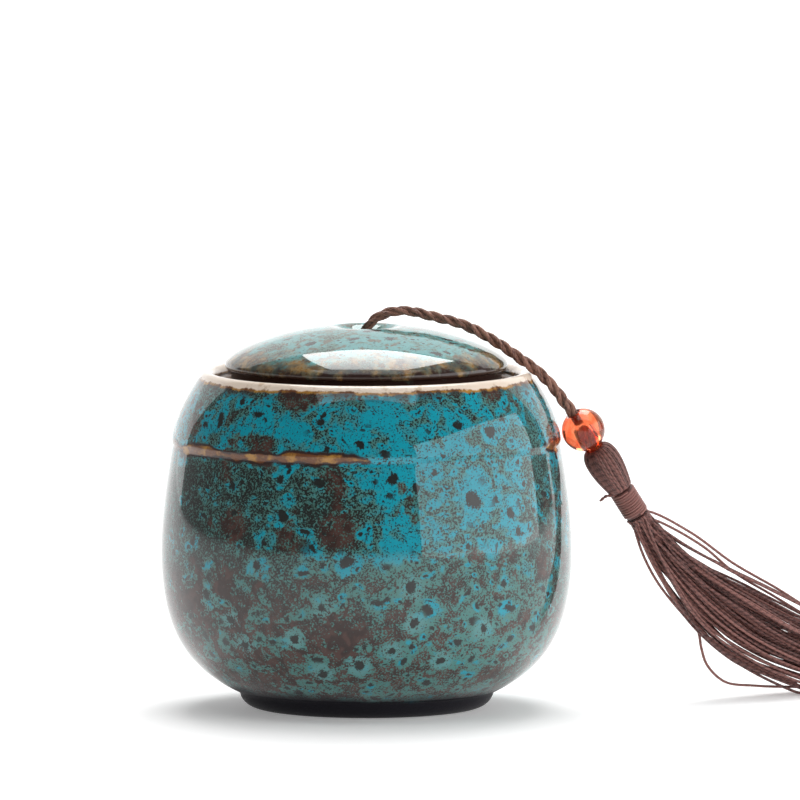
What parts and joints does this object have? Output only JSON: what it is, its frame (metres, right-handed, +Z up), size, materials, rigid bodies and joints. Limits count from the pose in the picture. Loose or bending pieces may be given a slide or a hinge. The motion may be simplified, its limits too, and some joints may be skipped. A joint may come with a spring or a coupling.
{
  "type": "keepsake funeral urn",
  "caption": "Small glazed stoneware keepsake urn with a lift-off domed lid and a knotted cord that carries a bead and a tassel.",
  "frame": {"origin": "centre of the foot ring, on the surface that the urn stands on", "axes": "+Z up along the jar's turning axis, +X to the side where the bead and tassel hang, -Y to the front"},
  "size_m": [0.1334, 0.076, 0.0744],
  "materials": {
    "jar_glaze": "glossy reactive glaze, turquoise over brown",
    "lid_glaze": "glossy reactive glaze, pale turquoise over brown",
    "cord_thread": "twisted brown thread",
    "bead_glass": "polished, translucent orange-red"
  },
  "bodies": {
    "root": {"jar": "jar_glaze", "lid": "lid_glaze", "cord_knot": "cord_thread", "cord": "cord_thread", "bead": "bead_glass", "tassel_head": "cord_thread", "tassel_binding": "cord_thread", "tassel_skirt": "cord_thread"}
  },
  "joints": []
}
